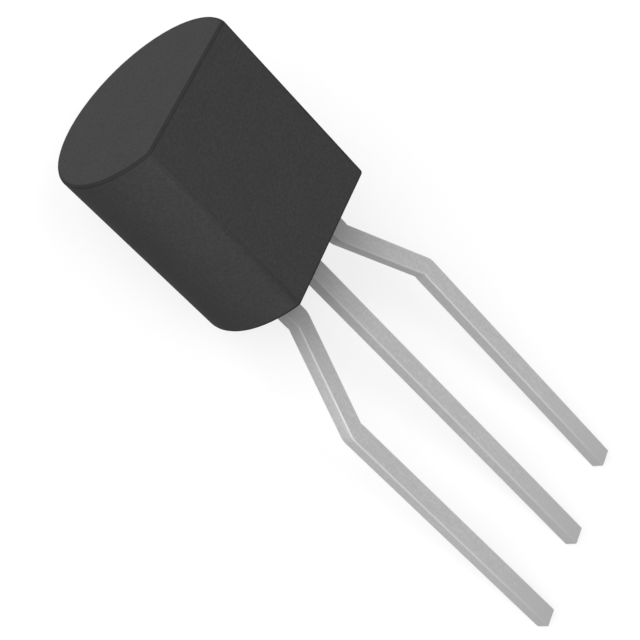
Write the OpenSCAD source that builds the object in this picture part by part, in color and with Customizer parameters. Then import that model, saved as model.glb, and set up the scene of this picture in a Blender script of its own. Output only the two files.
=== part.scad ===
// A small three-lead transistor: a D-shaped moulded body on a stamped lead frame,
// with the outer leads formed out to a wider spacing. It lies as it comes to rest,
// flat face up, on the rim of its round back and the ends of its leads.
// Inside the modules the body stands upright: X runs along the row of leads,
// Y runs from the flat face to the round back, and Z = 0 is the underside.

/* [Moulded body] */
// Radius of the round back
round_r = 2.505; // [2.4:0.005:2.6]
// Depth from the flat face to the crown of the round back
body_depth = 4.035; // [3.8:0.005:4.2]
// Height of the body
body_h = 5.15; // [4.8:0.01:5.3]
// Radius on every outer edge of the body
body_edge_r = 0.07; // [0.03:0.01:0.12]
// Diameter of the round mark that the ejector pin leaves on the back
ejector_d = 1; // [0.6:0.05:1.4]
// Depth of that mark below the crown of the back
ejector_depth = 0.12; // [0.08:0.01:0.2]
// Height of the middle of that mark above the underside
ejector_up = 3.3; // [2.5:0.05:3.8]

/* [Leads] */
// Width of a lead, along the row
lead_w = 0.52; // [0.43:0.01:0.55]
// Width of an outer lead where it slopes, drawn narrower as it is formed
splay_w = 0.48; // [0.4:0.01:0.53]
// Thickness of the strip that the leads are stamped from
lead_t = 0.37; // [0.33:0.01:0.44]
// Radius along a lead's edges and round its cut end
lead_edge_r = 0.05; // [0.02:0.01:0.08]
// Distance from the flat face back to the front of the leads
lead_setback = 1.25; // [1.1:0.01:1.5]
// Spacing of the leads where they leave the body
exit_pitch = 1.33; // [1.2:0.01:1.4]
// Spacing of the leads at their ends
tip_pitch = 2.54; // [2.4:0.01:2.8]
// Length of the leads below the underside
lead_length = 12.4; // [10:0.1:14]
// Straight stretch of an outer lead above its first bend
stub = 1.13; // [0.8:0.01:1.5]
// Height over which an outer lead slopes outwards
splay_h = 2.78; // [2.2:0.01:3.4]
// Inside radius of each bend
bend_r = 0.15; // [0.1:0.01:0.3]

/* [Lead frame in the body] */
// Width of the die pad on the centre lead
pad_w = 1.5; // [1.2:0.05:1.6]
// Height of the die pad
pad_h = 1.6; // [1.3:0.05:1.8]
// Height of the pad's lower edge above the underside
pad_up = 2.15; // [1.9:0.05:2.4]
// Width of the bonding head on an outer lead
head_w = 0.85; // [0.75:0.05:1]
// Height of a bonding head
head_h = 1.1; // [0.8:0.05:1.3]
// Gap between the die pad and each bonding head
head_gap = 0.18; // [0.12:0.01:0.22]
// Radius on the corners of the pad and the heads
frame_corner_r = 0.15; // [0.05:0.01:0.25]
// Radius of the half-round notches that key a lead into the moulding
notch_r = 0.1; // [0.06:0.01:0.12]
// Height of the notches above the underside
notch_up = 1.1; // [0.8:0.05:1.4]

/* [Die and bond wires] */
// Side of the square silicon die
die_w = 0.55; // [0.4:0.01:0.7]
// Thickness of the die
die_t = 0.2; // [0.12:0.01:0.3]
// Thickness of the layer that holds the die on its pad
attach_t = 0.03; // [0.02:0.01:0.05]
// Distance that this layer shows round the die
attach_rim = 0.05; // [0.02:0.01:0.1]
// Diameter of a bond wire
wire_d = 0.05; // [0.04:0.01:0.07]
// Diameter of the ball that bonds a wire to the die
ball_d = 0.12; // [0.1:0.01:0.16]
// Height of that ball
ball_h = 0.05; // [0.03:0.01:0.08]
// Distance of each ball from the middle of the die, both ways
ball_offset = 0.13; // [0.1:0.01:0.13]
// Height of a wire's loop above the die
loop_h = 0.36; // [0.3:0.01:0.5]
// Height of a wire's last bend above its bonding head
foot_h = 0.2; // [0.18:0.01:0.3]
// Radius of the bends in a wire
wire_bend_r = 0.1; // [0.06:0.01:0.12]
// Diameter of the stitch that bonds a wire to its head
stitch_d = 0.14; // [0.1:0.01:0.2]
// Thickness of that stitch
stitch_t = 0.03; // [0.02:0.01:0.05]

/* [Hidden] */
$fn = 96;
// Steps round a corner of a lead and round a bend, and the sides of a wire
corner_steps = 3;
bend_steps = 6;
wire_sides = 10;
// Share of the rounding that the flat end of a lead is drawn in by
end_share = 0.9;

// The lead strip's middle is Y = 0
lead_front = -lead_t / 2;
flat_y = lead_front - lead_setback;
round_y = flat_y + body_depth - round_r;

// Plan of the body: where the small corner arcs sit and where they meet the big one
chord = round_y - flat_y;
corner_x = sqrt(pow(round_r - body_edge_r, 2) - pow(chord - body_edge_r, 2));
corner_y = body_edge_r - chord;
arc_end_x = corner_x * round_r / (round_r - body_edge_r);
arc_end_y = corner_y * round_r / (round_r - body_edge_r);

// The heads are level with the die, so that the wires run level too
die_up = pad_up + pad_h / 2;
head_up = die_up - head_h / 2;
head_x = pad_w / 2 + head_gap + head_w / 2;
die_front = lead_front - attach_t - die_t;

// Radius of a bend at the middle of the lead, and the angle that the splay leans at
bend_mid_r = bend_r + lead_w / 2;
slope = atan2(tip_pitch - exit_pitch, splay_h);

// The part lies on two rounded edges: the rim of the back and the heels of the leads
rim = [round_y + round_r - body_edge_r, body_edge_r];
heel = [lead_t / 2 - lead_edge_r, lead_edge_r - lead_length];
span = rim - heel;
tilt = atan2(span[0], span[1]) + asin((body_edge_r - lead_edge_r) / norm(span));
// Middle of the part's length as it lies, and the height that sets it on the ground
top_end = rim[0] * sin(tilt) + (body_h - body_edge_r) * cos(tilt) + body_edge_r;
tip_end = (lead_edge_r - lead_t / 2) * sin(tilt) + heel[1] * cos(tilt) - lead_edge_r;
lie_y = -(top_end + tip_end) / 2;
lie_z = rim[0] * cos(tilt) - rim[1] * sin(tilt) + body_edge_r;

module lying() {
    translate([0, lie_y, lie_z]) rotate([tilt - 90, 0, 0]) children();
}

// A rectangle with rounded corners, centred
module rounded_rect(w, h, r) {
    square([w - 2 * r, h], center = true);
    square([w, h - 2 * r], center = true);
    for (sx = [-1, 1], sy = [-1, 1])
        translate([sx * (w / 2 - r), sy * (h / 2 - r)]) circle(r);
}

// Width of a lead where it has this heading: it narrows with its slope
function width_at(h) = lead_w + (splay_w - lead_w) * (h + 90) / slope;

// Points round a lead of width w, drawn in evenly by the length inset
function lead_ring(w, inset) = [for (q = [0 : 3], k = [0 : corner_steps])
    let (a = 90 * (q + k / corner_steps), sx = (q == 0 || q == 3) ? 1 : -1, sy = q < 2 ? 1 : -1)
    [sx * (w / 2 - lead_edge_r) + (lead_edge_r - inset) * cos(a),
     sy * (lead_t / 2 - lead_edge_r) + (lead_edge_r - inset) * sin(a)]];

// Points round a wire
wire_ring = [for (k = [0 : wire_sides - 1])
    wire_d / 2 * [cos(360 * k / wire_sides), sin(360 * k / wire_sides)]];

// Heading of a path after point i, its turn there, and the length its bend takes off each side
function heading(p, i) = atan2(p[i + 1][1] - p[i][1], p[i + 1][0] - p[i][0]);
function turn(p, i) = heading(p, i) - heading(p, i - 1);
function trim(p, i, r) = r * tan(abs(turn(p, i)) / 2);

// Stations are [x, y, heading, inset]. These go round the bend of radius r at point i
function bend_stations(p, i, r) =
    let (h = heading(p, i - 1), side = sign(turn(p, i)), back = trim(p, i, r),
         cx = p[i][0] - back * cos(h) - side * r * sin(h),
         cy = p[i][1] - back * sin(h) + side * r * cos(h))
    [for (k = [0 : bend_steps]) let (a = h + turn(p, i) * k / bend_steps)
        [cx + side * r * sin(a), cy - side * r * cos(a), a, 0]];

// A path's square-cut first end and its bends
function bent_stations(p, r) = concat([[p[0][0], p[0][1], heading(p, 0), 0]],
    [for (i = [1 : 1 : len(p) - 2]) each bend_stations(p, i, r)]);

// The last end of a path, drawn in over its last stretch r_end
function end_stations(p, r_end) = let (e = p[len(p) - 1], h = heading(p, len(p) - 2))
    [for (k = [0 : corner_steps]) let (a = 90 * k / corner_steps, back = r_end * (1 - sin(a)))
        [e[0] - back * cos(h), e[1] - back * sin(h), h, end_share * r_end * (1 - cos(a))]];

// The last end of a path, cut square
function square_end(p) = let (e = p[len(p) - 1]) [[e[0], e[1], heading(p, len(p) - 2), 0]];

// Skins the rings over the stations of a path in XY
module sweep(stops, rings) {
    n = len(rings[0]);
    points = [for (i = [0 : len(stops) - 1], q = rings[i]) let (s = stops[i])
        [s[0] - q[0] * sin(s[2]), s[1] + q[0] * cos(s[2]), q[1]]];
    sides = [for (i = [0 : len(stops) - 2], k = [0 : n - 1]) let (m = (k + 1) % n)
        [i * n + k, (i + 1) * n + k, (i + 1) * n + m, i * n + m]];
    first_end = [for (k = [0 : n - 1]) k];
    last_end = [for (k = [0 : n - 1]) len(points) - 1 - k];
    polyhedron(points, concat([first_end], sides, [last_end]));
}

// A lead along a path of [x, z] points in the plane of the lead frame
module lead_bar(path) {
    stops = concat(bent_stations(path, bend_mid_r), end_stations(path, lead_edge_r));
    rotate([90, 0, 0]) sweep(stops, [for (s = stops) lead_ring(width_at(s[2]), s[3])]);
}

// A wire along a path of [x, y] points
module wire_bar(path) {
    stops = concat(bent_stations(path, wire_bend_r), square_end(path));
    sweep(stops, [for (s = stops) wire_ring]);
}

// Body

// Round barrel with rounded rims
module barrel() {
    inner_r = round_r - body_edge_r;
    translate([0, round_y, 0]) rotate_extrude() {
        square([inner_r, body_h]);
        translate([0, body_edge_r]) square([round_r, body_h - 2 * body_edge_r]);
        for (z = [body_edge_r, body_h - body_edge_r]) translate([inner_r, z]) circle(body_edge_r);
    }
}

// Bar whose front is the flat face, rounded above and below
module flat_bar() {
    rotate([90, 0, 90]) linear_extrude(3 * round_r, center = true) translate([flat_y, 0]) {
        translate([body_edge_r, 0]) square([2 * body_depth, body_h]);
        translate([0, body_edge_r]) square([2 * body_depth, body_h - 2 * body_edge_r]);
        for (z = [body_edge_r, body_h - body_edge_r]) translate([body_edge_r, z]) circle(body_edge_r);
    }
}

// Prism that is wider than the barrel and trims it in front, with a rounded corner
// on each side where the flat face meets the round back
module front_trim() {
    far = 2 * round_r;
    translate([0, round_y, 0]) linear_extrude(body_h) {
        polygon([[-corner_x, -chord], [corner_x, -chord], [arc_end_x, arc_end_y],
                 [far, arc_end_y], [far, far], [-far, far],
                 [-far, arc_end_y], [-arc_end_x, arc_end_y]]);
        for (s = [-1, 1]) translate([s * corner_x, corner_y]) circle(body_edge_r);
    }
}

module ejector_mark() {
    translate([0, round_y + round_r - ejector_depth, ejector_up])
        rotate([-90, 0, 0]) cylinder(d = ejector_d, h = round_r);
}

// Leads

// A stamped plate of the lead frame, with its lower edge at height up
module plate(x, up, w, h) {
    translate([x, 0, up + h / 2]) rotate([90, 0, 0]) linear_extrude(lead_t, center = true)
        rounded_rect(w, h, frame_corner_r);
}

// Half-round notches in both sides of a lead, inside the body
module notches(x) {
    for (s = [-1, 1]) translate([x + s * lead_w / 2, 0, notch_up])
        rotate([90, 0, 0]) cylinder(r = notch_r, h = 2 * lead_t, center = true);
}

// The centre lead: straight, and widened to the pad that carries the die
module centre_lead() {
    difference() {
        union() {
            lead_bar([[0, pad_up + frame_corner_r], [0, -lead_length]]);
            plate(0, pad_up, pad_w, pad_h);
        }
        notches(0);
    }
}

// An outer lead on the +X side: out of the body, outwards, and straight down again
module outer_lead() {
    difference() {
        union() {
            lead_bar([[exit_pitch, head_up + frame_corner_r], [exit_pitch, -stub],
                      [tip_pitch, -stub - splay_h], [tip_pitch, -lead_length]]);
            plate(head_x, head_up, head_w, head_h);
        }
        notches(exit_pitch);
    }
}

// Die and wires

module die_shape() {
    translate([-die_w / 2, die_front, die_up - die_w / 2]) cube([die_w, die_t, die_w]);
}

module attach_shape() {
    side = die_w + 2 * attach_rim;
    translate([-side / 2, lead_front - attach_t, die_up - side / 2]) cube([side, attach_t, side]);
}

// A wire on the +X side, level at height up: ball on the die, loop, stitch on the head
module wire_shape(up) {
    translate([0, 0, up]) {
        translate([ball_offset, die_front, 0])
            rotate([90, 0, 0]) cylinder(d = ball_d, h = ball_h);
        wire_bar([[ball_offset, die_front - ball_h / 2], [ball_offset, die_front - loop_h],
                  [head_x, lead_front - foot_h], [head_x, lead_front - stitch_t / 2]]);
        translate([head_x, lead_front, 0])
            rotate([90, 0, 0]) cylinder(d = stitch_d, h = stitch_t);
    }
}

module base_wire_shape() {
    wire_shape(die_up - ball_offset);
}

module emitter_wire_shape() {
    mirror([1, 0, 0]) wire_shape(die_up + ball_offset);
}

// The nodes

// The moulding fits tightly round everything inside it
module moulded_body() {
    color([0.24, 0.24, 0.24]) lying() difference() {
        intersection() {
            barrel();
            flat_bar();
            front_trim();
        }
        ejector_mark();
        centre_lead();
        outer_lead();
        mirror([1, 0, 0]) outer_lead();
        attach_shape();
        die_shape();
        base_wire_shape();
        emitter_wire_shape();
    }
}

module collector_lead() {
    color([0.7, 0.7, 0.7]) lying() centre_lead();
}

module emitter_lead() {
    color([0.7, 0.7, 0.7]) lying() mirror([1, 0, 0]) outer_lead();
}

module base_lead() {
    color([0.7, 0.7, 0.7]) lying() outer_lead();
}

module die_attach() {
    color([0.6, 0.6, 0.58]) lying() attach_shape();
}

module silicon_die() {
    color([0.3, 0.32, 0.36]) lying() die_shape();
}

module emitter_wire() {
    color([0.9, 0.72, 0.3]) lying() emitter_wire_shape();
}

module base_wire() {
    color([0.9, 0.72, 0.3]) lying() base_wire_shape();
}

moulded_body();
collector_lead();
emitter_lead();
base_lead();
die_attach();
silicon_die();
emitter_wire();
base_wire();
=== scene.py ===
"""A small three-lead transistor with formed leads, lying flat face up on a white floor."""

from math import asin, atan2, cos, hypot, pi, radians, sin, sqrt, tan

import bmesh
import bpy
from bpy.props import FloatProperty, FloatVectorProperty, PointerProperty
from mathutils import Matrix, Quaternion, Vector


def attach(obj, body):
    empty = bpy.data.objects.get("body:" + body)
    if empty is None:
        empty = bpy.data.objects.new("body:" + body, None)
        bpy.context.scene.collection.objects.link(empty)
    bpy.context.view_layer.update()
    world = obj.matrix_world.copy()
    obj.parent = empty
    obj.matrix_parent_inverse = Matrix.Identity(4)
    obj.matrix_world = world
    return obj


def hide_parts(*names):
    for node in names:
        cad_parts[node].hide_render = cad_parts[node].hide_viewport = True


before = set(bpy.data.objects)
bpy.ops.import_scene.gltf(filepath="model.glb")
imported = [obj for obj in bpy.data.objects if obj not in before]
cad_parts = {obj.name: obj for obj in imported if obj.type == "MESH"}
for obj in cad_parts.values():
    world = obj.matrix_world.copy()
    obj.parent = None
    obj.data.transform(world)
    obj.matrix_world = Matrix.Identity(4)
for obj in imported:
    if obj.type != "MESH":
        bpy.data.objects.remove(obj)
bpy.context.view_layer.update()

bl_info = {
    "name": "Formed-lead transistor",
    "version": (1, 0, 0),
    "blender": (4, 5, 0),
    "location": "3D View > Sidebar > Transistor",
    "description": "Models the moulded body and formed leads of a small transistor, with its stage",
    "category": "Object",
}

MM = 0.001
BODY = "root"
ACROSS = Vector((1, 0, 0))
UP = Vector((0, 0, 1))


def measure(name, text, millimetres):
    """A length property whose default is given in millimetres."""
    return FloatProperty(name=name, description=text, default=millimetres * MM, unit="LENGTH", precision=6)


def in_degrees(name, text, degrees):
    """An angle property whose default is given in degrees."""
    return FloatProperty(name=name, description=text, default=radians(degrees), subtype="ANGLE")


def colour(name, text, value):
    """A colour property."""
    return FloatVectorProperty(
        name=name, description=text, default=value, subtype="COLOR", size=3, min=0.0, max=1.0
    )


def level(name, text, value, top=1.0):
    """A plain number property between 0 and top."""
    return FloatProperty(name=name, description=text, default=value, min=0.0, max=top)


class MouldingSizes(bpy.types.PropertyGroup):
    """Sizes and finish of the moulded body."""

    round_radius: measure("Round radius", "Radius of the round back", 2.505)
    depth: measure("Depth", "From the flat face to the crown of the back", 4.035)
    height: measure("Height", "From the underside to the closed top", 5.15)
    edge: measure("Edge", "Width rounded off each edge", 0.07)
    mark_diameter: measure("Mark diameter", "Ejector pin's mark on the back", 1.0)
    mark_depth: measure("Mark depth", "Depth of that mark below the crown", 0.12)
    mark_up: measure("Mark height", "Height of that mark above the underside", 3.3)
    tint: colour("Colour", "Colour of the moulding compound", (0.046, 0.046, 0.046))
    roughness: level("Roughness", "Roughness of the moulded surface", 0.62)


class LeadSizes(bpy.types.PropertyGroup):
    """Sizes and finish of the three leads."""

    width: measure("Width", "Width of a lead along the row", 0.52)
    splay_width: measure("Splay width", "Width of an outer lead where forming has stretched it", 0.48)
    thickness: measure("Thickness", "Thickness of the strip", 0.37)
    heel: measure("Heel", "Rounding of the heels that sets how the leads rest", 0.05)
    edge: measure("Edge", "Rounding that shows along the edges of a lead", 0.035)
    setback: measure("Setback", "From the flat face back to the front of the leads", 1.25)
    exit_pitch: measure("Exit pitch", "Spacing where the leads leave the body", 1.33)
    tip_pitch: measure("Tip pitch", "Spacing of the formed ends", 2.54)
    length: measure("Length", "Length below the underside", 12.4)
    stub: measure("Stub", "Straight stretch above the first bend", 1.13)
    splay: measure("Splay", "Height over which an outer lead slopes outwards", 2.78)
    bend: measure("Bend", "Inside radius of each bend", 0.15)
    tint: colour("Colour", "Colour of the tin plating", (0.442, 0.442, 0.442))
    roughness: level("Roughness", "Roughness of the tin plating", 0.45)


class FrameSizes(bpy.types.PropertyGroup):
    """Sizes of the stamped frame inside the body."""

    pad_width: measure("Pad width", "Width of the die pad", 1.5)
    pad_height: measure("Pad height", "Height of the die pad", 1.6)
    pad_up: measure("Pad foot", "Lower edge of the pad above the underside", 2.15)
    head_width: measure("Head width", "Width of a bonding head", 0.85)
    head_height: measure("Head height", "Height of a bonding head", 1.1)
    head_gap: measure("Head gap", "Gap between the pad and each head", 0.18)
    corner: measure("Corner", "Rounding of the pad's and the heads' corners", 0.15)


class StageSettings(bpy.types.PropertyGroup):
    """Camera, lamps and floor."""

    aim: FloatVectorProperty(
        name="Aim", description="Point that the camera looks at", size=3, subtype="TRANSLATION",
        default=(-1.024 * MM, 1.785 * MM, 2.45 * MM), precision=6,
    )
    distance: measure("Distance", "From the camera to the point it looks at", 41.27)
    azimuth: in_degrees("Azimuth", "Camera's place round the part", -125.94)
    elevation: in_degrees("Elevation", "Camera's angle above the floor", 51.49)
    roll: in_degrees("Roll", "Camera's turn about its own axis", 67.59)
    lens: FloatProperty(
        name="Lens", description="Focal length in millimetres", default=98.98, min=20, max=300
    )
    fill: level("Fill", "Light from all round", 0.14, 3.0)
    key: level("Key", "Power of the lamp beyond the top end", 3.2, 10.0)
    overhead: level("Overhead", "Power of the lamp above", 0.75, 10.0)
    side: level("Side", "Power of the lamp at the camera's side", 0.4, 10.0)
    counter: level("Counter", "Power of the low lamp at the far side", 0.6, 10.0)
    floor_tint: colour("Floor", "Colour that the floor throws back", (0.25, 0.25, 0.25))
    floor_lift: level("Lift", "How far the floor shows lighter than it is lit", 0.74)


# Where the pieces lie


class Lie:
    """How the part lies: on the rim of its round back and the heels of its leads."""

    def __init__(self, moulding, leads):
        self.flat_y = -leads.thickness / 2 - leads.setback
        self.round_y = self.flat_y + moulding.depth - moulding.round_radius
        crown = self.round_y + moulding.round_radius
        rim = Vector((crown - moulding.edge, moulding.edge))
        heel = Vector((leads.thickness / 2 - leads.heel, leads.heel - leads.length))
        span = rim - heel
        tilt = atan2(span.x, span.y) + asin((moulding.edge - leads.heel) / span.length)
        top_end = rim.x * sin(tilt) + (moulding.height - moulding.edge) * cos(tilt) + moulding.edge
        tip_end = (leads.heel - leads.thickness / 2) * sin(tilt) + heel.y * cos(tilt) - leads.heel
        up = rim.x * cos(tilt) - rim.y * sin(tilt) + moulding.edge
        along = -(top_end + tip_end) / 2
        self.tilt = tilt
        self.matrix = Matrix.Translation((0, along, up)) @ Matrix.Rotation(tilt - pi / 2, 4, "X")


def lie():
    """The lie of the part at the scene's sizes."""
    scene = bpy.context.scene
    return Lie(scene.moulding, scene.leads)


# Mesh tools

# Face layer on the rounded edges: the body gets painted shade there and the leads a painted highlight
EDGE_LAYER = "worn_edge"
CUT_LAYER = "cut_end"


def new_bmesh():
    """An empty bmesh with the face layers that the materials read."""
    bm = bmesh.new()
    bm.faces.layers.float.new(EDGE_LAYER)
    bm.faces.layers.float.new(CUT_LAYER)
    return bm


def mark_faces(bm, faces, layer_name, value=1.0):
    """Sets a face layer on these faces."""
    layer = bm.faces.layers.float[layer_name]
    for face in faces:
        face[layer] = value


def round_off(bm, edges, width, steps):
    """Rounds these edges off and returns the faces that the rounding made."""
    return bmesh.ops.bevel(
        bm, geom=edges, offset=width, offset_type="OFFSET", segments=steps, profile=0.5,
        affect="EDGES", material=-1, clamp_overlap=True,
    )["faces"]


def sharp_edges(bm, angle):
    """Edges whose two faces meet at more than this angle."""
    return [e for e in bm.edges if len(e.link_faces) == 2 and e.calc_face_angle() > angle]


def edge_run(edge):
    """The direction of an edge, either way round."""
    return (edge.verts[0].co - edge.verts[1].co).normalized()


def finish_piece(bm, name, material, node, smooth_angle):
    bmesh.ops.recalc_face_normals(bm, faces=bm.faces[:])
    bmesh.ops.transform(bm, matrix=lie().matrix, verts=bm.verts[:])
    for face in bm.faces:
        face.smooth = True
    for edge in bm.edges:
        edge.smooth = len(edge.link_faces) != 2 or edge.calc_face_angle() < smooth_angle
    mesh = bpy.data.meshes.new(name)
    bm.to_mesh(mesh)
    bm.free()
    mesh.materials.append(material)
    piece = bpy.data.objects.new(name, mesh)
    bpy.context.scene.collection.objects.link(piece)
    even = piece.modifiers.new("Even shading", "WEIGHTED_NORMAL")
    even.keep_sharp = True
    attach(piece, BODY)
    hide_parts(node)


# Moulded body

BACK_STEPS = 96
BODY_EDGE_STEPS = 4
BODY_EDGE_ANGLE = radians(20)
BODY_SMOOTH_ANGLE = radians(35)
# Share of the painted edge shade on the upright edges of the body
UPRIGHT_EDGE_SHADING = 0.3
MARK_STEPS = 48


def cut_mark(bm, size, place):
    """Cuts the ejector pin's round mark into the back."""
    mesh = bpy.data.meshes.new("uncut")
    bm.to_mesh(mesh)
    uncut = bpy.data.objects.new("uncut", mesh)
    pin_mesh = bpy.data.meshes.new("ejector_pin")
    pin_bm = bmesh.new()
    reach = size.round_radius
    middle = place.round_y + size.round_radius - size.mark_depth + reach / 2
    turn = Matrix.Translation((0, middle, size.mark_up)) @ Matrix.Rotation(pi / 2, 4, "X")
    bmesh.ops.create_cone(
        pin_bm, cap_ends=True, segments=MARK_STEPS, radius1=size.mark_diameter / 2,
        radius2=size.mark_diameter / 2, depth=reach, matrix=turn,
    )
    pin_bm.to_mesh(pin_mesh)
    pin_bm.free()
    pin = bpy.data.objects.new("ejector_pin", pin_mesh)
    for thing in (uncut, pin):
        bpy.context.scene.collection.objects.link(thing)
    cut = uncut.modifiers.new("Mark", "BOOLEAN")
    cut.operation = "DIFFERENCE"
    cut.solver = "EXACT"
    cut.object = pin
    bpy.context.view_layer.update()
    marked = bpy.data.meshes.new_from_object(uncut.evaluated_get(bpy.context.evaluated_depsgraph_get()))
    bm.clear()
    bm.from_mesh(marked)
    for thing in (uncut, pin):
        bpy.data.objects.remove(thing)
    for old in (mesh, pin_mesh, marked):
        bpy.data.meshes.remove(old)


def moulding_mesh(size, place):
    """The D-shaped moulding, upright: a corner spun round the back, filled, raised and rounded."""
    bm = new_bmesh()
    chord = place.round_y - place.flat_y
    half_flat = sqrt(size.round_radius**2 - chord**2)
    corner = bm.verts.new((half_flat, place.flat_y, 0))
    sweep = pi + 2 * atan2(chord, half_flat)
    bmesh.ops.spin(
        bm, geom=[corner], cent=(0, place.round_y, 0), axis=UP, angle=sweep, steps=BACK_STEPS,
        use_duplicate=False,
    )
    bmesh.ops.contextual_create(bm, geom=bm.verts[:])
    raised = bmesh.ops.extrude_face_region(bm, geom=bm.faces[:], use_keep_orig=True)
    tops = [v for v in raised["geom"] if isinstance(v, bmesh.types.BMVert)]
    bmesh.ops.translate(bm, vec=(0, 0, size.height), verts=tops)
    bmesh.ops.recalc_face_normals(bm, faces=bm.faces[:])
    rounded = round_off(bm, sharp_edges(bm, BODY_EDGE_ANGLE), size.edge, BODY_EDGE_STEPS)
    upright = [f for f in rounded if size.edge < f.calc_center_median().z < size.height - size.edge]
    # Marks the rounded edges for painted shade, weaker on the upright ones
    mark_faces(bm, rounded, EDGE_LAYER)
    mark_faces(bm, upright, EDGE_LAYER, UPRIGHT_EDGE_SHADING)
    cut_mark(bm, size, place)
    return bm


# Leads

LEAD_EDGE_STEPS = 4
LEAD_EDGE_ANGLE = radians(60)
LEAD_SMOOTH_ANGLE = radians(40)
BEND_STEPS = 8
CORNER_STEPS = 4

# How near to a height still counts as at it
CLOSE = MM / 200

# Least share of an edge's run that has to lie along an axis
STRAIGHT = 0.99
LENGTHWISE = 0.5


def push_face(bm, face, vector):
    """Draws a face of a closed bar outwards and returns the new face."""
    drawn = bmesh.ops.extrude_discrete_faces(bm, faces=[face])["faces"][0]
    bmesh.ops.translate(bm, vec=vector, verts=drawn.verts[:])
    return drawn


def bend_face(bm, face, centre, start, angle, ratio):
    """Draws a face round a bend while its width changes by ratio, and returns the new face."""
    step = Matrix.Rotation(angle / BEND_STEPS, 3, "Y")
    narrower = (ratio ** (1 / BEND_STEPS), 1, 1)
    for i in range(BEND_STEPS):
        face = bmesh.ops.extrude_discrete_faces(bm, faces=[face])["faces"][0]
        bmesh.ops.rotate(bm, cent=centre, matrix=step, verts=face.verts[:])
        turned = Matrix.Rotation(start + angle * (i + 1) / BEND_STEPS, 4, "Y")
        place = Matrix.Translation(face.calc_center_median()) @ turned
        bmesh.ops.scale(bm, vec=narrower, space=place.inverted(), verts=face.verts[:])
    return face


def side_face(faces, direction):
    """The face among these that looks in a direction."""
    return max(faces, key=lambda f: f.normal.dot(direction))


def lower_end(bm):
    """The lower face of a stem, at Z = 0."""
    return side_face([f for f in bm.faces if f.calc_center_median().z < CLOSE], -UP)


def stem(size, middle, top):
    """A closed bar from the underside up to height top, with its lower face at Z = 0."""
    bm = new_bmesh()
    place = Matrix.Translation((middle, 0, top / 2)) @ Matrix.Diagonal((size.width, size.thickness, top, 1))
    bmesh.ops.create_cube(bm, size=1, matrix=place)
    return bm


def widen(bm, height, left, right, corner):
    """Raises the top of a stem by height, and draws its sides out to a plate with rounded corners."""
    upward = side_face(bm.faces, UP)
    before = set(bm.faces)
    top = push_face(bm, upward, (0, 0, height))
    bm.normal_update()
    sides = [f for f in bm.faces if f not in before and f is not top]
    left_side = side_face(sides, -ACROSS)
    right_side = side_face(sides, ACROSS)
    for side, end in ((left_side, left), (right_side, right)):
        push_face(bm, side, (end - side.calc_center_median().x, 0, 0))
    bm.normal_update()
    high = top.calc_center_median().z
    low = high - height
    close = corner / 10

    def at_corner(edge):
        """Whether an edge stands at a corner of the plate."""
        x, _, z = edge.verts[0].co
        return min(abs(x - left), abs(x - right)) < close and min(abs(z - low), abs(z - high)) < close

    through = [e for e in sharp_edges(bm, LEAD_EDGE_ANGLE) if abs(edge_run(e).y) > STRAIGHT]
    round_off(bm, [e for e in through if at_corner(e)], corner, CORNER_STEPS)


def round_lead(bm, size, end, foot):
    """Marks the sheared end, and rounds and marks the lead's edges below the stamped plate."""
    mark_faces(bm, [end], CUT_LAYER)
    highest = foot + CLOSE
    below = [e for e in sharp_edges(bm, LEAD_EDGE_ANGLE) if max(v.co.z for v in e.verts) < highest]
    along = [e for e in below if abs(edge_run(e).z) > LENGTHWISE or e in end.edges]
    # Marks the rounded edges, where the material paints a highlight
    mark_faces(bm, round_off(bm, along, size.edge, LEAD_EDGE_STEPS), EDGE_LAYER)


def centre_lead_mesh(size, inside):
    """The centre lead: straight, and widened to the die pad."""
    bm = stem(size, 0, inside.pad_up)
    widen(bm, inside.pad_height, -inside.pad_width / 2, inside.pad_width / 2, inside.corner)
    end = push_face(bm, lower_end(bm), (0, 0, -size.length))
    bm.normal_update()
    round_lead(bm, size, end, inside.pad_up)
    return bm


def outer_lead_mesh(size, inside):
    """An outer lead on the +X side: out of the body, outwards, and straight down again."""
    foot = inside.pad_up + (inside.pad_height - inside.head_height) / 2
    bm = stem(size, size.exit_pitch, foot)
    left = inside.pad_width / 2 + inside.head_gap
    widen(bm, inside.head_height, left, left + inside.head_width, inside.corner)
    out = size.tip_pitch - size.exit_pitch
    slope = atan2(out, size.splay)
    middle_radius = size.bend + size.width / 2
    trim = middle_radius * tan(slope / 2)
    ratio = size.splay_width / size.width
    face = push_face(bm, lower_end(bm), (0, 0, trim - size.stub))
    face = bend_face(bm, face, (size.exit_pitch + middle_radius, 0, trim - size.stub), 0, -slope, ratio)
    run = hypot(out, size.splay) - 2 * trim
    face = push_face(bm, face, (run * sin(slope), 0, -run * cos(slope)))
    bend_end = size.stub + size.splay + trim
    face = bend_face(bm, face, (size.tip_pitch - middle_radius, 0, -bend_end), -slope, slope, 1 / ratio)
    end = push_face(bm, face, (0, 0, bend_end - size.length))
    bm.normal_update()
    round_lead(bm, size, end, foot)
    return bm


# Material tools

MIX_FACTOR = 0
MIX_FIRST = 6
MIX_SECOND = 7
MIX_COLOUR = 2


def add_node(tree, kind, place, **settings):
    """A node at a place in the tree, with its settings."""
    node = tree.nodes.new(kind)
    node.location = place
    for key, value in settings.items():
        setattr(node, key, value)
    return node


def feed(tree, value, socket):
    """Gives an input socket a link from another socket, or a plain value."""
    if isinstance(value, bpy.types.NodeSocket):
        tree.links.new(value, socket)
    else:
        socket.default_value = value


def arithmetic(tree, operation, first, second, place):
    """A Math node on two sockets or numbers, and its result."""
    node = add_node(tree, "ShaderNodeMath", place, operation=operation)
    feed(tree, first, node.inputs[0])
    feed(tree, second, node.inputs[1])
    return node.outputs["Value"]


def spread(tree, value, low, high, place):
    """Maps a value from 0..1 to low..high."""
    node = add_node(tree, "ShaderNodeMapRange", place)
    feed(tree, value, node.inputs["Value"])
    feed(tree, low, node.inputs["To Min"])
    feed(tree, high, node.inputs["To Max"])
    return node.outputs["Result"]


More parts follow.
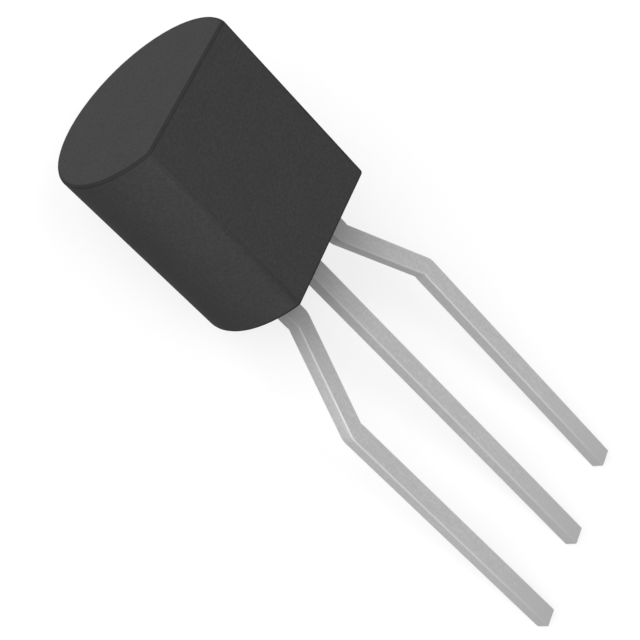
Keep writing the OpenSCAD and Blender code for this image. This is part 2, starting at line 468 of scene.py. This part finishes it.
def noise(tree, vector, scale, detail, place):
    """A noise texture and its value."""
    node = add_node(tree, "ShaderNodeTexNoise", place)
    feed(tree, vector, node.inputs["Vector"])
    feed(tree, scale, node.inputs["Scale"])
    feed(tree, detail, node.inputs["Detail"])
    return node.outputs["Fac"]


def blend_colours(tree, factor, first, second, place):
    """Mixes two colours, each a socket or a triple, by a factor socket."""
    node = add_node(tree, "ShaderNodeMix", place, data_type="RGBA")
    feed(tree, factor, node.inputs[MIX_FACTOR])
    for value, index in ((first, MIX_FIRST), (second, MIX_SECOND)):
        feed(tree, (*value, 1.0) if isinstance(value, tuple) else value, node.inputs[index])
    return node.outputs[MIX_COLOUR]


def shade(tint, factor):
    """A tint made lighter or darker by a factor."""
    return tuple(min(1.0, c * factor) for c in tint)


def bump(tree, shader, height, distance, strength, place):
    """Raises the surface by a height socket."""
    node = add_node(tree, "ShaderNodeBump", place)
    feed(tree, strength, node.inputs["Strength"])
    feed(tree, distance, node.inputs["Distance"])
    feed(tree, height, node.inputs["Height"])
    tree.links.new(node.outputs["Normal"], shader.inputs["Normal"])


def new_material(name, roughness, metallic=0.0, specular=0.5):
    """A material with a Principled shader, and its tree and shader."""
    material = bpy.data.materials.new(name)
    material.use_nodes = True
    tree = material.node_tree
    shader = tree.nodes["Principled BSDF"]
    shader.inputs["Metallic"].default_value = metallic
    shader.inputs["Roughness"].default_value = roughness
    shader.inputs["Specular IOR Level"].default_value = specular
    return material, tree, shader


# Effects that the materials share

FINE_DETAIL = 3.0
BROAD_DETAIL = 2.0
# Least share of the painted edge shading where noise breaks it up
LEAST_EDGE_SHADING = 0.7
LINE_STRETCH = 0.04
NEARNESS_CURVE = 1.5


def add_input(group, name, value):
    """A named number that a group takes."""
    socket = group.interface.new_socket(name=name, in_out="INPUT", socket_type="NodeSocketFloat")
    socket.default_value = value


def add_output(group, name):
    """A named value that a group puts out."""
    group.interface.new_socket(name=name, in_out="OUTPUT", socket_type="NodeSocketFloat")


def group_ends(group):
    """What a group is given, what it puts out, and the Object coordinates inside it."""
    given = add_node(group, "NodeGroupInput", (-1000, 200)).outputs
    result = add_node(group, "NodeGroupOutput", (600, 0)).inputs
    place = add_node(group, "ShaderNodeTexCoord", (-1000, -200)).outputs["Object"]
    return given, result, place


def grain_group(group):
    """Fine grain and broad mottling, at scales per metre."""
    add_input(group, "Grain scale", 20000.0)
    add_input(group, "Mottle scale", 1500.0)
    add_output(group, "Grain")
    add_output(group, "Mottle")
    given, result, place = group_ends(group)
    fine = noise(group, place, given["Grain scale"], FINE_DETAIL, (-200, 100))
    broad = noise(group, place, given["Mottle scale"], BROAD_DETAIL, (-200, -200))
    group.links.new(fine, result["Grain"])
    group.links.new(broad, result["Mottle"])


def edge_group(group):
    """Where light or shade is painted along an edge: the rounded edges, broken up by noise."""
    add_input(group, "Break-up scale", 4000.0)
    add_output(group, "Mask")
    given, result, place = group_ends(group)
    edge = add_node(group, "ShaderNodeAttribute", (-600, 200), attribute_name=EDGE_LAYER).outputs["Fac"]
    broken = noise(group, place, given["Break-up scale"], BROAD_DETAIL, (-600, -200))
    share = spread(group, broken, LEAST_EDGE_SHADING, 1.0, (-300, -200))
    group.links.new(arithmetic(group, "MULTIPLY", edge, share, (0, 0)), result["Mask"])


def line_group(group):
    """Fine lines along the leads, left by rolling and stamping the strip."""
    add_input(group, "Lines scale", 9000.0)
    add_output(group, "Lines")
    given, result, place = group_ends(group)
    along = add_node(group, "ShaderNodeMapping", (-600, -200))
    along.inputs["Rotation"].default_value = (-lie().tilt, 0, 0)
    along.inputs["Scale"].default_value = (1.0, LINE_STRETCH, 1.0)
    group.links.new(place, along.inputs["Vector"])
    lines = noise(group, along.outputs["Vector"], given["Lines scale"], BROAD_DETAIL, (-200, 0))
    group.links.new(lines, result["Lines"])


def height_group(group):
    """Nearness to a height: 1 there, fading to 0 a reach below it, or above it where that is negative."""
    add_input(group, "Height", 0.0)
    add_input(group, "Reach", MM)
    add_output(group, "Nearness")
    given, result, place = group_ends(group)
    upright = add_node(group, "ShaderNodeMapping", (-800, -200), vector_type="TEXTURE")
    upright.inputs["Location"].default_value = lie().matrix.to_translation()
    upright.inputs["Rotation"].default_value = lie().matrix.to_euler()
    group.links.new(place, upright.inputs["Vector"])
    apart = add_node(group, "ShaderNodeSeparateXYZ", (-600, -200))
    group.links.new(upright.outputs["Vector"], apart.inputs["Vector"])
    above = arithmetic(group, "SUBTRACT", apart.outputs["Z"], given["Height"], (-400, 0))
    share = arithmetic(group, "DIVIDE", above, given["Reach"], (-200, 0))
    near = arithmetic(group, "ADD", share, 1.0, (0, 0))
    near.node.use_clamp = True
    curved = arithmetic(group, "POWER", near, NEARNESS_CURVE, (200, 0))
    group.links.new(curved, result["Nearness"])


SHARED_GROUPS = {
    "Surface grain": grain_group,
    "Rubbed edge": edge_group,
    "Rolled lines": line_group,
    "Nearness to height": height_group,
}


def use_group(tree, name, place, values):
    """The outputs of a shared group placed in a material with its own values, built the first time."""
    group = bpy.data.node_groups.get(name)
    if group is None:
        group = bpy.data.node_groups.new(name, "ShaderNodeTree")
        SHARED_GROUPS[name](group)
    node = add_node(tree, "ShaderNodeGroup", place, node_tree=group)
    for key, value in values.items():
        node.inputs[key].default_value = value
    return node.outputs


# Moulding compound: scales per metre, and shades as factors on its colour

COMPOUND_GRAIN = 14000.0
COMPOUND_MOTTLE = 1400.0
COMPOUND_BREAK_UP = 3500.0
COMPOUND_SPECULAR = 0.01
COMPOUND_DIM = 1.16
COMPOUND_BRIGHT = 1.36
COMPOUND_SPECK = 0.72
# Darker shade painted along the body's rounded edges
COMPOUND_EDGE_SHADE = 0.5
COMPOUND_ROUGH_SPREAD = 0.06
COMPOUND_EDGE_POLISH = 0.12
COMPOUND_RELIEF = 0.0015 * MM
COMPOUND_RELIEF_STRENGTH = 0.35


def moulding_material(size):
    """Black epoxy moulding compound: matt, with a fine grain, and slightly polished edges with painted
    shade.
    """
    material, tree, shader = new_material("moulding_compound", size.roughness, specular=COMPOUND_SPECULAR)
    scales = {"Grain scale": COMPOUND_GRAIN, "Mottle scale": COMPOUND_MOTTLE}
    grain = use_group(tree, "Surface grain", (-900, 200), scales)
    edge = use_group(tree, "Rubbed edge", (-900, -200), {"Break-up scale": COMPOUND_BREAK_UP})
    dim = shade(size.tint, COMPOUND_DIM)
    bright = shade(size.tint, COMPOUND_BRIGHT)
    face = blend_colours(tree, grain["Mottle"], dim, bright, (-600, 300))
    speckled = blend_colours(tree, grain["Grain"], shade(size.tint, COMPOUND_SPECK), face, (-400, 300))
    # Painted shade along the rounded edges
    base = blend_colours(tree, edge["Mask"], speckled, shade(size.tint, COMPOUND_EDGE_SHADE), (-200, 300))
    tree.links.new(base, shader.inputs["Base Color"])
    smoothest = size.roughness - COMPOUND_ROUGH_SPREAD
    roughest = size.roughness + COMPOUND_ROUGH_SPREAD
    rough = spread(tree, grain["Grain"], smoothest, roughest, (-500, 0))
    polished = arithmetic(tree, "MULTIPLY", edge["Mask"], COMPOUND_EDGE_POLISH, (-500, -250))
    tree.links.new(arithmetic(tree, "SUBTRACT", rough, polished, (-250, 0)), shader.inputs["Roughness"])
    bump(tree, shader, grain["Grain"], COMPOUND_RELIEF, COMPOUND_RELIEF_STRENGTH, (-300, -300))
    return material


# Tin plating: scales per metre, and shades as factors on its colour

TIN_METAL = 0.35
TIN_GRAIN = 14000.0
TIN_BREAK_UP = 5000.0
TIN_LINES = 9000.0
TIN_DARK = 0.68
TIN_LIGHT = 1.48
TIN_LINE_SHADE = 0.9
# Lighter shade painted along the leads' rounded edges as a highlight
TIN_EDGE_HIGHLIGHT = 1.24
# Painted shadow that the body casts on the leads near it
TIN_BODY_SHADOW = 0.45
# Painted shade towards the tips of the leads
TIN_TIP_SHADE = 0.88
# How far the painted shadow of the body reaches down the leads
BODY_SHADOW_REACH = 3.4 * MM
# How far the painted tip shade reaches up the leads
TIP_SHADE_REACH = 4.0 * MM
CUT_COLOUR = (0.42, 0.36, 0.32)
TIN_ROUGH_SPREAD = 0.07
TIN_RELIEF = 0.002 * MM
TIN_RELIEF_STRENGTH = 0.3


def tin_material(size):
    """Matt tin on stamped strip: painted highlight along the edges, painted body shadow and tip shade, bare
    at the cut.
    """
    material, tree, shader = new_material("tin_plating", size.roughness, metallic=TIN_METAL)
    grain = use_group(tree, "Surface grain", (-900, 200), {"Grain scale": TIN_GRAIN})["Grain"]
    edge = use_group(tree, "Rubbed edge", (-900, -100), {"Break-up scale": TIN_BREAK_UP})["Mask"]
    lines = use_group(tree, "Rolled lines", (-900, -400), {"Lines scale": TIN_LINES})["Lines"]
    cut = add_node(tree, "ShaderNodeAttribute", (-900, -600), attribute_name=CUT_LAYER).outputs["Fac"]
    # Painted shadow of the body, strongest where the leads leave it
    body_shadow = use_group(tree, "Nearness to height", (-900, -750), {"Reach": BODY_SHADOW_REACH})["Nearness"]
    tip = {"Height": -size.length, "Reach": -TIP_SHADE_REACH}
    # Painted shade towards the tips
    tip_shade = use_group(tree, "Nearness to height", (-900, -950), tip)["Nearness"]
    dark = shade(size.tint, TIN_DARK)
    light = shade(size.tint, TIN_LIGHT)
    face = blend_colours(tree, grain, dark, light, (-650, 300))
    lined = blend_colours(tree, lines, shade(size.tint, TIN_LINE_SHADE), face, (-500, 300))
    # Painted highlight along the rounded edges
    highlighted = blend_colours(tree, edge, lined, shade(size.tint, TIN_EDGE_HIGHLIGHT), (-350, 300))
    # Painted shadow of the body near it
    body_shadowed = blend_colours(tree, body_shadow, highlighted, shade(size.tint, TIN_BODY_SHADOW), (-350, 500))
    # Painted shade towards the tips
    tip_shaded = blend_colours(tree, tip_shade, body_shadowed, shade(size.tint, TIN_TIP_SHADE), (-200, 500))
    tree.links.new(blend_colours(tree, cut, tip_shaded, CUT_COLOUR, (-50, 300)), shader.inputs["Base Color"])
    smoothest = size.roughness - TIN_ROUGH_SPREAD
    roughest = size.roughness + TIN_ROUGH_SPREAD
    tree.links.new(spread(tree, grain, smoothest, roughest, (-500, 0)), shader.inputs["Roughness"])
    uneven = arithmetic(tree, "ADD", grain, lines, (-500, -300))
    bump(tree, shader, uneven, TIN_RELIEF, TIN_RELIEF_STRENGTH, (-250, -300))
    return material


# Finishes inside the body

INNER_MOTTLE_SHARE = 1 / 8
INNER_DARK = 0.88
INNER_LIGHT = 1.08
INNER_ROUGH_SPREAD = 0.2

# Colour, roughness, share of metal and grain per metre
INNER_FINISHES = {
    "polished_silicon": ((0.1, 0.11, 0.14), 0.15, 0.6, 8000.0),
    "silver_adhesive": ((0.55, 0.55, 0.53), 0.55, 0.8, 20000.0),
    "gold_wire": ((0.85, 0.6, 0.22), 0.25, 1.0, 16000.0),
}
INNER_NODES = {
    "silicon_die": "polished_silicon",
    "die_attach": "silver_adhesive",
    "emitter_wire": "gold_wire",
    "base_wire": "gold_wire",
}


def inner_material(name, tint, roughness, metallic, scale):
    """A plain finish with grain for a piece sealed in the body."""
    material, tree, shader = new_material(name, roughness, metallic)
    scales = {"Grain scale": scale, "Mottle scale": scale * INNER_MOTTLE_SHARE}
    grain = use_group(tree, "Surface grain", (-600, 200), scales)
    dark = shade(tint, INNER_DARK)
    light = shade(tint, INNER_LIGHT)
    face = blend_colours(tree, grain["Grain"], dark, light, (-300, 200))
    tree.links.new(face, shader.inputs["Base Color"])
    smoothest = roughness * (1 - INNER_ROUGH_SPREAD)
    roughest = min(1.0, roughness * (1 + INNER_ROUGH_SPREAD))
    rough = spread(tree, grain["Mottle"], smoothest, roughest, (-300, 0))
    tree.links.new(rough, shader.inputs["Roughness"])
    return material


# Stage

SENSOR_WIDTH = 36.0
FAR_CLIP = 10.0
LAMP_DISTANCE = 0.5
LAMP_SIDE = 0.35
FLOOR_SIDE = 2.0
FLOOR_FADE = 0.4
FLOOR_ROUGHNESS = 0.9
FLOOR_NOISE = 40.0
FLOOR_MOTTLE = 0.01
WHITE = (1, 1, 1, 1)

# Each lamp's setting for its power, and its azimuth and elevation in degrees
LAMPS = {"key": (-146, 33), "overhead": (-150, 80), "side": (-95, 40), "counter": (105, 20)}


def look_from(azimuth, elevation):
    """Direction from the part towards a camera or lamp at these angles."""
    return Vector((sin(azimuth) * cos(elevation), -cos(azimuth) * cos(elevation), sin(elevation)))


def place_camera(stage):
    """The camera at the photograph's angle."""
    data = bpy.data.cameras.new("camera")
    data.lens = stage.lens
    data.sensor_fit = "HORIZONTAL"
    data.sensor_width = SENSOR_WIDTH
    data.clip_start = MM
    data.clip_end = FAR_CLIP
    camera = bpy.data.objects.new("camera", data)
    towards = look_from(stage.azimuth, stage.elevation)
    camera.location = Vector(stage.aim) + towards * stage.distance
    camera.rotation_mode = "QUATERNION"
    level_turn = (-towards).to_track_quat("-Z", "Y")
    camera.rotation_quaternion = level_turn @ Quaternion(UP, stage.roll)
    bpy.context.scene.collection.objects.link(camera)
    bpy.context.scene.camera = camera


def add_lamp(name, azimuth, elevation, power):
    """A soft square lamp that points at the part."""
    data = bpy.data.lights.new(name, "AREA")
    data.shape = "SQUARE"
    data.size = LAMP_SIDE
    data.energy = power
    lamp = bpy.data.objects.new(name, data)
    towards = look_from(azimuth, elevation)
    lamp.location = towards * LAMP_DISTANCE
    lamp.rotation_mode = "QUATERNION"
    lamp.rotation_quaternion = (-towards).to_track_quat("-Z", "Y")
    bpy.context.scene.collection.objects.link(lamp)


def seen_plainly(tree, place):
    """1 for rays from the camera, a gloss or a clear surface, and 0 for rays that carry light to others."""
    rays = add_node(tree, "ShaderNodeLightPath", place).outputs
    x, y = place
    gloss = arithmetic(tree, "MAXIMUM", rays["Is Camera Ray"], rays["Is Glossy Ray"], (x + 200, y))
    return arithmetic(tree, "MAXIMUM", gloss, rays["Is Transmission Ray"], (x + 400, y))


def build_world(stage):
    """An even white surround that shows as white and lights the part by the fill level."""
    world = bpy.data.worlds.new("surround")
    world.use_nodes = True
    tree = world.node_tree
    background = tree.nodes["Background"]
    background.inputs["Color"].default_value = WHITE
    strength = spread(tree, seen_plainly(tree, (-800, 0)), stage.fill, 1.0, (-200, 0))
    tree.links.new(strength, background.inputs["Strength"])
    bpy.context.scene.world = world


def floor_material(stage):
    """A pale floor that shows as white, keeps the part's shadow, and has no line at its far edge."""
    material, tree, shader = new_material("pale_floor", FLOOR_ROUGHNESS, specular=0.0)
    place = add_node(tree, "ShaderNodeTexCoord", (-900, 200)).outputs["Object"]
    soft = noise(tree, place, FLOOR_NOISE, BROAD_DETAIL, (-700, 200))
    darker = shade(stage.floor_tint, 1 - FLOOR_MOTTLE)
    lighter = shade(stage.floor_tint, 1 + FLOOR_MOTTLE)
    tree.links.new(blend_colours(tree, soft, darker, lighter, (-400, 200)), shader.inputs["Base Color"])
    shader.inputs["Emission Color"].default_value = WHITE
    away = add_node(tree, "ShaderNodeVectorMath", (-900, -450), operation="LENGTH")
    tree.links.new(place, away.inputs[0])
    share = arithmetic(tree, "DIVIDE", away.outputs["Value"], FLOOR_FADE, (-700, -450))
    lift = spread(tree, share, stage.floor_lift, 1.0, (-500, -450))
    shown = arithmetic(tree, "MULTIPLY", seen_plainly(tree, (-900, -200)), lift, (-300, -200))
    tree.links.new(shown, shader.inputs["Emission Strength"])
    return material


def lay_floor(stage):
    """The floor that the part lies on."""
    bm = bmesh.new()
    bmesh.ops.create_grid(bm, x_segments=1, y_segments=1, size=FLOOR_SIDE / 2)
    mesh = bpy.data.meshes.new("floor")
    bm.to_mesh(mesh)
    bm.free()
    mesh.materials.append(floor_material(stage))
    floor = bpy.data.objects.new("floor", mesh)
    bpy.context.scene.collection.objects.link(floor)


# Operators


class TRANSISTOR_OT_set_stage(bpy.types.Operator):
    """Lay the floor and place the camera, the lamps and the surround"""

    bl_idname = "transistor.set_stage"
    bl_label = "Set the stage"

    def execute(self, context):
        stage = context.scene.stage
        place_camera(stage)
        build_world(stage)
        lay_floor(stage)
        for name, (azimuth, elevation) in LAMPS.items():
            add_lamp(name + "_lamp", radians(azimuth), radians(elevation), getattr(stage, name))
        return {"FINISHED"}


class TRANSISTOR_OT_mould_body(bpy.types.Operator):
    """Model the moulded body"""

    bl_idname = "transistor.mould_body"
    bl_label = "Mould the body"

    def execute(self, context):
        size = context.scene.moulding
        bm = moulding_mesh(size, lie())
        finish_piece(
            bm, "body_moulding", moulding_material(size), "moulded_body", BODY_SMOOTH_ANGLE
        )
        return {"FINISHED"}


class TRANSISTOR_OT_form_leads(bpy.types.Operator):
    """Model the centre lead and the two formed outer leads"""

    bl_idname = "transistor.form_leads"
    bl_label = "Form the leads"

    def execute(self, context):
        size = context.scene.leads
        inside = context.scene.lead_frame
        tin = tin_material(size)
        centre = centre_lead_mesh(size, inside)
        right = outer_lead_mesh(size, inside)
        left = outer_lead_mesh(size, inside)
        bmesh.ops.scale(left, vec=(-1, 1, 1), verts=left.verts[:])
        finish_piece(centre, "centre_lead", tin, "collector_lead", LEAD_SMOOTH_ANGLE)
        finish_piece(right, "right_lead", tin, "base_lead", LEAD_SMOOTH_ANGLE)
        finish_piece(left, "left_lead", tin, "emitter_lead", LEAD_SMOOTH_ANGLE)
        return {"FINISHED"}


class TRANSISTOR_OT_finish_inside(bpy.types.Operator):
    """Give the die, its adhesive and the bond wires their finishes"""

    bl_idname = "transistor.finish_inside"
    bl_label = "Finish the inside"

    def execute(self, context):
        finishes = {name: inner_material(name, *values) for name, values in INNER_FINISHES.items()}
        for name, finish in INNER_NODES.items():
            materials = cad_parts[name].data.materials
            materials.clear()
            materials.append(finishes[finish])
        return {"FINISHED"}


class TRANSISTOR_PT_tools(bpy.types.Panel):
    """Tools that build the transistor"""

    bl_label = "Transistor"
    bl_idname = "TRANSISTOR_PT_tools"
    bl_space_type = "VIEW_3D"
    bl_region_type = "UI"
    bl_category = "Transistor"

    def draw(self, context):
        for operator in OPERATORS:
            self.layout.operator(operator.bl_idname)
        for name in GROUPS:
            box = self.layout.box()
            settings = getattr(context.scene, name)
            for key in settings.__annotations__:
                box.prop(settings, key)


OPERATORS = (
    TRANSISTOR_OT_set_stage,
    TRANSISTOR_OT_mould_body,
    TRANSISTOR_OT_form_leads,
    TRANSISTOR_OT_finish_inside,
)
GROUPS = {"moulding": MouldingSizes, "leads": LeadSizes, "lead_frame": FrameSizes, "stage": StageSettings}


def register():
    """Registers the add-on's classes and its settings on the scene."""
    for cls in (*GROUPS.values(), *OPERATORS, TRANSISTOR_PT_tools):
        bpy.utils.register_class(cls)
    for name, cls in GROUPS.items():
        setattr(bpy.types.Scene, name, PointerProperty(type=cls))


def unregister():
    """Removes the settings and the classes."""
    for name in GROUPS:
        delattr(bpy.types.Scene, name)
    for cls in reversed((*GROUPS.values(), *OPERATORS, TRANSISTOR_PT_tools)):
        bpy.utils.unregister_class(cls)


def main():
    """Builds the whole scene."""
    register()
    bpy.context.scene.view_settings.view_transform = "Standard"
    for operator in OPERATORS:
        area, name = operator.bl_idname.split(".")
        getattr(getattr(bpy.ops, area), name)()


if __name__ == "__main__":
    main()
